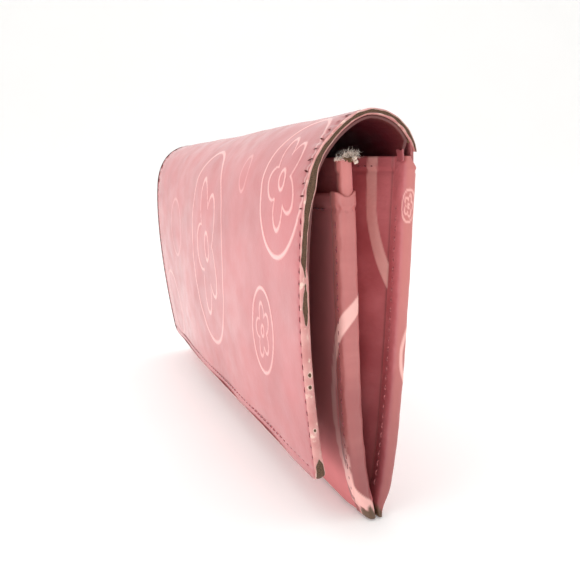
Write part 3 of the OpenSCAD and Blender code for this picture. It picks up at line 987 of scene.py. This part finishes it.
def pleat_tip(name, heights):
    """The middle fold of a gusset, where its two halves almost touch."""
    joint = next(j for j in frame["joints"] if j["name"] == f"gusset_{name}_fold")
    place, up = np.array(joint["pos_m"]) / MM, np.array(joint["axis"])
    lo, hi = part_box(f"gusset_{name}")
    right, back = "right" in name, "back" in name
    top = hi.z / MM
    crease = place + up * ((top - place[2]) / up[2])
    reach = np.array([lo.x if right else hi.x, lo.y if back else hi.y, 0]) / MM
    across = (reach - crease) * (1, 1, 0)
    across[1] += TIP_GAP if back else -TIP_GAP
    across -= up * (across @ up)
    across = unit(across)
    rise = ((heights - place[2]) / up[2])[:, None]
    width = np.clip(rise, 0.5, None) * PLEAT_WIDTH / ((top - place[2]) / up[2])
    return place + rise * up + width * across


def gusset_piece(name, path, corners, depth, heights, blush):
    """One leather from the leaf's rolled end, over the crease and into half of the pleat."""
    side = 1 if "right" in name else -1
    body = "back" if "back" in name else "front"
    section = rounded_section(corners + [(CREASE_AT, depth)], 36)
    low_down = 1 - (0.2 if body == "back" else 0.5) * np.exp(-(heights - heights[0]) / 6)
    roll = turned_round(path, section, heights, side, low_down)
    if body == "back":
        outermost = roll[:, len(section) // 2, None, 1]
        near_top = smooth((heights - (heights[-1] - 3.5)) / 3.5)[:, None]
        near_top = near_top * smooth((np.abs(roll[..., 0]) - 91.5) / 3)
        roll[..., 0] -= side * 1.1 * near_top
        roll[..., 1] += (outermost - roll[..., 1]) * 0.45 * near_top
    fold, tip = roll[:, -1], pleat_tip(name, heights)
    share = np.linspace(0, 1, 34)[1:]
    width = np.linalg.norm(tip - fold, axis=1)
    a, h = share[None, :] * width[:, None], np.broadcast_to(heights[:, None], (len(heights), len(share)))
    facing = np.array([side * 0.3, -1.0 if body == "back" else 1.0, 0])
    swell = 0.45 * np.sin(math.pi * share)[None, :] * (width / 15)[:, None]
    swell = swell + 0.12 * ripples(h, a, 5, 30, 9) * np.sin(math.pi * share)[None, :]
    leaf = fold[:, None, :] * (1 - share[None, :, None]) + tip[:, None, :] * share[None, :, None]
    leaf = leaf + swell[..., None] * facing / np.linalg.norm(facing)
    points = np.concatenate([roll, leaf], axis=1)
    normals = grid_normals(points, (side, facing[1] * 0.1, 0))

    def on_leaf(values, on_roll=0.0):
        """Values of the pleat's half, with others on the rolled end."""
        return np.concatenate([np.broadcast_to(on_roll, roll.shape[:2]), values], axis=1)

    t = on_leaf(-a, run_length(section)[None, :])
    z = np.broadcast_to(heights[:, None], t.shape)
    emboss = back_marks(t, z) if body == "back" else t * 0
    hem = 0.28 * smooth((z - (heights[-1] - 3.2)) / 0.5) - 0.2 * bell(z - heights[-1] + 3.6, 0.4)
    crease_dip, tip_wear = on_leaf(np.exp(-a / 0.35)), on_leaf(np.exp(-(width[:, None] - a)))
    ends = smooth((2.1 + 0.35 * ripples(t, t * 0, 5, 5, 1.5) - z) / 0.7) * (t >= 0) * (body == "back")
    grime = np.clip(ends + 0.5 * crease_dip + 0.15 * tip_wear, 0, 1)
    pale = np.where(t >= 0, smooth((blush - t) / 1.4), 0.0) * np.ones_like(z)
    # Painted shade: darker towards the bottom and in a narrow band along the crease.
    dusk = np.maximum(0.5 * smooth((62 - z) / 60), 0.75 * on_leaf(bell(a, 0.55)))
    lift = hem * (t < 2) + 0.05 * emboss
    sheet = slab(f"gusset_{name}_leather", (points, normals), 0, 0.42, GUSSET_MAT, 0.15, lift,
                 emboss=emboss, grime=grime, blush=pale, dusk=dusk)
    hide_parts(f"gusset_{name}", f"gusset_hem_{name}", f"flange_{name}")
    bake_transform(sheet)
    row = nearest(heights, heights[-1] - 2.6)
    line, n = points[row, 46:-3], normals[row, 46:-3]
    seam(f"gusset_{name}_hem_seam", f"leaf_{name}", line + n * 0.1, n, pitch=2.3, radius=0.2)


# How each leather turns round a leaf's end: (X, depth) corners
BACK_ROLL = [(93.4, 0.1), (94.6, -0.05), (95.25, 0.4), (95.4, 1.3), (95.15, 2.3), (94.5, 3.1), (93.2, 3.5),
             (91.8, 3.55)]
TOP_ROLL = [(91.5, 1.5), (93, 1.25), (94.3, 1.25), (95.0, 1.9), (95.15, 3.0), (94.9, 4.0), (94.0, 4.55),
            (92.5, 4.65)]
FRONT_ROLL = [(90.9, -0.1), (92, -0.1), (93.6, -0.05), (94.8, 0.35), (95.45, 1.2), (95.6, 2.2), (95.45, 3.4),
              (94.9, 4.5), (93.6, 5.1), (91.5, 5.15)]
FRONT_RING = ((108, 28), (20, 30), 0, 3.2)  # the broad ring that crosses from the pocket's face round the end


def back_marks(t, z):
    """A small ring with a blossom, the end of a broad ring lower down, and the pleat's broad ring."""
    marks = [ring_mark(t, z, (3.3, 78.4), (1.7, 3.9), 0, 0.34), ring_mark(t, z, (-2, 41.5), (5, 9), 0, 1.1),
             blossom_mark(t, z, (3.3, 78.4), (1.1, 2.7), 0, 0.3)]
    on_pleat = ring_mark(-t, z, (-37.7, 84), (44.6, 44.6), 0, 3.3)
    return np.where(t >= 0, np.max(marks, axis=0) * smooth(t / 0.3), on_pleat)


def front_binding(side, name):
    """The pocket's own rolled end, with a curved fold at its top over the thinner roll behind."""
    heights = np.linspace(0.6, POCKET_TOP + 0.2, 170)
    section = rounded_section(FRONT_ROLL, 44)
    slim = 1 - 0.25 * np.exp(-(heights - heights[0]) / 7)
    if side < 0:
        section[:, 1] += 0.6 * np.clip(1 - section[:, 1] / 2.2, 0, 1)
    points = turned_round(FRONT_PATH, section, heights, side, slim)
    around = run_length(section) / run_length(section)[-1]
    near_top = smooth((heights - (POCKET_TOP - 6)) / 6)[:, None]
    points[..., 2] -= 1.3 * near_top * bell(around - 0.52, 0.17)[None, :]
    normals = grid_normals(points, (side, 0, 0))
    t, z = np.broadcast_arrays(run_length(section)[None, :], heights[:, None])
    from_top = POCKET_TOP - z
    marks = ring_mark(t + 90.9, z, *FRONT_RING)
    fold = 0.13 * smooth((3.2 - from_top) / 0.6) - 0.28 * bell(from_top - 3.9, 0.45)
    fold = fold + 0.12 * bell(from_top - 3.6, 1.2) * np.sin(TURN * t / 2.1)
    fine = 0.035 * ripples(t * 3.0, z * 0.5, 8, 5, 1.6)
    cracks = smooth((ripples(t * 1.6, z * 0.7, 8, 4, 1.1) + 0.75) / 0.4)
    flakes = smooth((24 - z) / 14) * smooth((3.9 - t) / 0.8) * smooth((t - 1.2) / 0.5) * cracks
    tip = 2.6 + 0.4 * ripples(t, t * 0, 5, 5, 1.5)
    wear = smooth((tip - z) / 0.6) * smooth((t - 1.4) / 0.8)
    flakes = np.maximum(flakes, bell(z - tip - 0.5, 0.5))
    lift = fold + fine + 0.05 * marks + 0.08 * flakes
    # Painted shade over the whole roll, darker towards the bottom.
    roll = slab(f"front_binding_{name}", (points, normals), 0, 0.4, ROLL_MAT, 0.12, lift,
                emboss=np.clip(marks + flakes, 0, 1), grime=wear, dusk=0.12 + 0.5 * smooth((58 - z) / 60))
    fit(roll, "gusset_leather", "front")
    line, n = points[6:-12, 8], normals[6:-12, 8]
    nodes = ["thread_front_ends"] if side > 0 else []
    seam(f"front_end_seam_{name}", "front", line - n * 0.1, n, radius=0.2, nodes=nodes)


def flange_seam(side, name):
    """Stitches that hold the back binding to the back leaf, on its inner face."""
    heights = np.linspace(6, LEAF_TOP - 8, 120)
    leaf = between(BACK_PATH, heights[0], heights[-1], len(heights))
    n = outward(leaf)
    line = np.insert(leaf - n * 3.6, 0, side * 92.3, axis=1)
    inward = np.insert(-n, 0, 0, axis=1)
    seam(f"back_flange_seam_{name}", "back", line, inward, THREAD_ROSE_MAT, 2.5, 0.15)


def gussets_and_ends():
    for side, name in ((1, "right"), (-1, "left")):
        back, front = np.linspace(0.5, LEAF_TOP + 1.2, 190), np.linspace(3.4, FRONT_TOP - 0.3, 180)
        gusset_piece(f"{name}_back", BACK_PATH, BACK_ROLL, 3.55, back, 5.0)
        gusset_piece(f"{name}_front", FRONT_PATH, TOP_ROLL, 4.65, front, 6.5)
        front_binding(side, name)
        flange_seam(side, name)


# Zip and snap


def zip_teeth(name, node, up_side):
    """One row of teeth, each a small bevelled block with a nose that reaches between its neighbours."""
    pitch, length = 1.3, 1.5
    wall = deeper(FRONT_PATH, (COIN_GAP[1] + FRONT_T) / 2)
    y = np.interp(-ZIP_Z, -wall[:, 1], wall[:, 0])
    count = int(2 * ZIP_HALF / pitch)
    offset = 0.25 if up_side > 0 else -0.25
    outline = [(0.0, 0.42), (0.55, 0.42), (0.75, 0.28), (1.1, 0.3), (1.35, 0.18), (1.45, 0.0)]
    outline += [(a, -b) for a, b in outline[-2::-1]]
    rounds = ((-0.36, 0.75), (-0.26, 1.0), (0.26, 1.0), (0.36, 0.75))
    stacks = []
    for k in range(count):
        x = -ZIP_HALF + (k + 0.5 + offset) * pitch
        stacks.append(np.array([[(x + b * shrink, y + depth, ZIP_Z + up_side * (length * 0.72 - a * shrink))
                                 for a, b in outline] for depth, shrink in rounds]))
    fit(tubes(name, stacks, GOLD_MAT, uv=False), "brass", "front", node)


def tape(name, node):
    """Woven tape along the zip, behind the teeth."""
    lo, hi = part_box(node)
    face = COIN_GAP[1]
    leaf_sheet(name, FRONT_PATH, lo.z / MM, hi.z / MM, face - 0.35, face - 0.02, hi.x / MM, TAPE_MAT, "front",
               "zip_tape", node, step=1.2, bulge=0.05)


def zip_window_seams():
    wall, facing = deeper(FRONT_PATH, FRONT_T), (0.0, *-outward(FRONT_PATH)[10])
    for name, side, nodes in (("low", -1, ["thread_zip_window"]), ("high", 1, [])):
        z = ZIP_Z + side * (WINDOW_H / 2 + 2)
        level_seam(f"zip_seam_{name}", "front", ZIP_HALF + 3, wall, z, facing, nodes)


# Wear


def tuft(name, place, count, spread, length, mat):
    """A frayed tuft: short bent fibres standing out of a torn corner."""
    corners = np.array([(math.cos(a), math.sin(a), 0.3 * math.cos(a)) for a in (0, 2.1, 4.2)])
    t = np.linspace(0, 1, 5)[:, None]
    stacks = []
    for _ in range(count):
        root = np.array(place) + RNG.normal(0, 1, 3) * np.array(spread)
        way = unit(np.array([RNG.uniform(-0.1, 0.9), RNG.uniform(-0.8, 0.8), RNG.uniform(0.0, 1.0)]))
        curl = RNG.normal(0, 0.8, 3)
        size = length * RNG.uniform(0.4, 1.0)
        radius = RNG.uniform(0.04, 0.08) * (1 - 0.6 * t)
        stacks.append((root + size * t * (way + curl * t))[:, None] + radius[..., None] * corners)
    fit(tubes(name, stacks, mat, capped=False), "thread", "front")


def torn_lumps(name, places, mat, slot):
    """Small rough lumps of rubbed-through material."""
    bm = bmesh.new()
    for x, y, z, radius in places:
        m = Matrix.Translation(Vector((x, y, z)) * MM) @ Matrix.Diagonal((0.9, 1.0, 0.8, 1.0))
        bmesh.ops.create_icosphere(bm, subdivisions=4, radius=radius * MM, matrix=m)
    for v in bm.verts:
        p = v.co / MM
        rough = math.sin(5.1 * p.x + 2.3 * p.y) * math.sin(4.3 * p.y - 1.1 * p.z)
        rough *= math.sin(4.7 * p.z + 1.9 * p.x)
        v.co += v.normal * (0.22 * rough + RNG.normal(0, 0.02)) * MM
    mesh = bpy.data.meshes.new(name)
    bm.to_mesh(mesh)
    bm.free()
    mesh.shade_smooth()
    mesh.materials.append(mat)
    fit(added(name, mesh), slot, "front")


def torn_corner():
    """The front leaf's upper right corner: leather rubbed through, brown board and pale fibres showing."""
    z = FRONT_TOP - 0.2
    y = float(np.interp(z, FRONT_PATH[::-1, 1], FRONT_PATH[::-1, 0]))
    pale = [(93.9, y + 1.9, z, 0.7), (94.2, y + 2.9, z + 0.5, 0.85), (94.3, y + 3.9, z + 0.9, 0.8),
            (94.5, y + 4.9, z + 0.2, 0.75), (94.6, y + 5.3, z - 0.7, 0.6), (93.5, y + 0.8, z - 0.1, 0.5)]
    brown = [(94.7, y + 2.6, z - 0.2, 0.6), (94.9, y + 3.6, z - 0.3, 0.7), (94.6, y + 4.6, z + 0.7, 0.4)]
    torn_lumps("torn_corner_leather", pale, FIBRE_MAT, "gusset_leather")
    torn_lumps("torn_corner_board", brown, BOARD_MAT, "edge_board")
    tuft("torn_corner_fibres", (94.3, y + 4.2, z + 0.8), 330, (0.45, 0.85, 0.35), 0.85, FIBRE_MAT)
    tuft("torn_corner_fluff", (94.0, y + 2.1, z - 0.1), 200, (0.45, 0.8, 0.25), 0.5, FIBRE_MAT)
    tuft("torn_corner_dark_fibres", (94.4, y + 3.4, z + 0.3), 110, (0.45, 1.1, 0.3), 0.7, BOARD_MAT)


def back_scrap():
    """A turned-up scrap of leather left at the top of the back leaf's right end."""
    xs, zs = np.linspace(91.8, 94.6, 14), np.linspace(LEAF_TOP, LEAF_TOP + 2.7, 12)
    x, z = np.meshgrid(xs, zs)
    y = HINGE_Y - BACK_T - 0.35 - 0.12 * (z - LEAF_TOP) + 0.12 * ripples(x, z, 5, 6, 2)
    points = np.stack([x + 0.12 * np.sin(1.9 * z), y, z + 0.14 * np.sin(2.2 * x)], axis=-1)
    # The whole scrap carries painted shade, a dark rose tint.
    scrap = slab("back_scrap", (points, grid_normals(points, (0, -1, 0))), 0, 0.4, GUSSET_MAT, 0.1,
                 emboss=x * 0, grime=x * 0, dusk=x * 0 + 0.4)
    fit(scrap, "gusset_leather", "back")


KEPT_NODES = ("zip_end_stops", "zip_slider", "zip_pull", "snap_stud", "snap_stud_post", "snap_socket",
              "snap_cap")


def metal(node):
    """A CAD node that keeps its shape, with softened edges and a worn gold finish."""
    obj = frame["nodes"][node]
    bevel = obj.modifiers.new("soft_edges", "BEVEL")
    bevel.width = 0.12 * MM
    bevel.segments = 2
    bevel.limit_method = "ANGLE"
    obj.data.materials.clear()
    obj.data.materials.append(GOLD_MAT)


shell_leather()
shell_lining()
shell_boards()
flap_edges()
shell_seams()
base_fold()
card_slots()
pocket()
coin_pocket()
gussets_and_ends()
zip_teeth("zip_teeth_row_upper", "zip_teeth_upper", 1)
zip_teeth("zip_teeth_row_lower", "zip_teeth_lower", -1)
tape("zip_tape_woven_upper", "zip_tape_upper")
tape("zip_tape_woven_lower", "zip_tape_lower")
zip_window_seams()
torn_corner()
back_scrap()
for kept in KEPT_NODES:
    metal(kept)


# Stage, camera, light


def stage_floor():
    """A pale floor that rises in a smooth curve behind the wallet."""
    size, back = 3.0, 1.1
    rise = cubic([(back / 2, 0), (back, 0), (back, 0.2), (back, 1.4)], 24)
    rows = joined(np.array([(-size, 0.0), (back / 2, 0.0)]), rise)
    verts = [(x, y, z) for y, z in rows for x in (-size, size)]
    faces = [[2 * i, 2 * i + 1, 2 * i + 3, 2 * i + 2] for i in range(len(rows) - 1)]
    mesh = bpy.data.meshes.new("floor")
    mesh.from_pydata(verts, [], faces)
    mesh.shade_smooth()
    mesh.materials.append(floor_look())
    obj = added("floor", mesh)
    obj.rotation_euler = (0, 0, math.radians(65))


def area_light(name, place, target, size, power):
    light = bpy.data.lights.new(name, "AREA")
    light.shape = "RECTANGLE"
    light.size, light.size_y = size
    light.energy = power
    obj = added(name, light)
    obj.location = place
    obj.rotation_euler = (Vector(target) - Vector(place)).to_track_quat("-Z", "Y").to_euler()


def studio_world():
    """White light from the left and behind the wallet, dimmer from the side its near end faces."""
    world = bpy.data.worlds.new("studio")
    world.use_nodes = True
    nodes, links = world.node_tree.nodes, world.node_tree.links
    place = nodes.new("ShaderNodeTexCoord")
    split = nodes.new("ShaderNodeSeparateXYZ")
    ramp = nodes.new("ShaderNodeMapRange")
    ramp.interpolation_type = "SMOOTHSTEP"
    for key, value in (("From Min", -0.1), ("From Max", 0.75), ("To Min", 1.45), ("To Max", 0.5)):
        ramp.inputs[key].default_value = value
    links.new(place.outputs["Generated"], split.inputs["Vector"])
    links.new(split.outputs["X"], ramp.inputs["Value"])
    links.new(ramp.outputs["Result"], nodes["Background"].inputs["Strength"])
    nodes["Background"].inputs["Color"].default_value = (1.0, 0.995, 0.99, 1)
    bpy.context.scene.world = world


def lighting():
    studio_world()
    area_light("key", (0.05, -0.8, 0.5), (0, 0, 0.04), (0.9, 0.6), 1.2)
    area_light("top", (-0.2, 0.1, 1.0), (0, 0, 0.05), (0.8, 0.8), 1.2)
    area_light("end_fill", (0.8, 0.25, 0.25), (0.08, 0, 0.05), (0.3, 0.3), 0.5)
    area_light("low_front", (0.12, -0.55, 0.07), (0.04, 0, 0.02), (0.5, 0.1), 0.3)
    bpy.context.scene.view_settings.view_transform = "Standard"


CAMERA_PLACE = (0.24093, -0.07703, 0.08463)
CAMERA_YAW = 0.359
CAMERA_PITCH = -0.159
CAMERA_LENS = 42.65


def camera():
    data = bpy.data.cameras.new("camera")
    data.sensor_width = 36
    data.lens = CAMERA_LENS
    data.clip_start = 0.005
    obj = added("camera", data)
    level = math.cos(CAMERA_PITCH)
    forward = Vector((-math.cos(CAMERA_YAW) * level, math.sin(CAMERA_YAW) * level, math.sin(CAMERA_PITCH)))
    obj.location = CAMERA_PLACE
    obj.rotation_euler = forward.to_track_quat("-Z", "Y").to_euler()
    bpy.context.scene.camera = obj


stage_floor()
lighting()
camera()
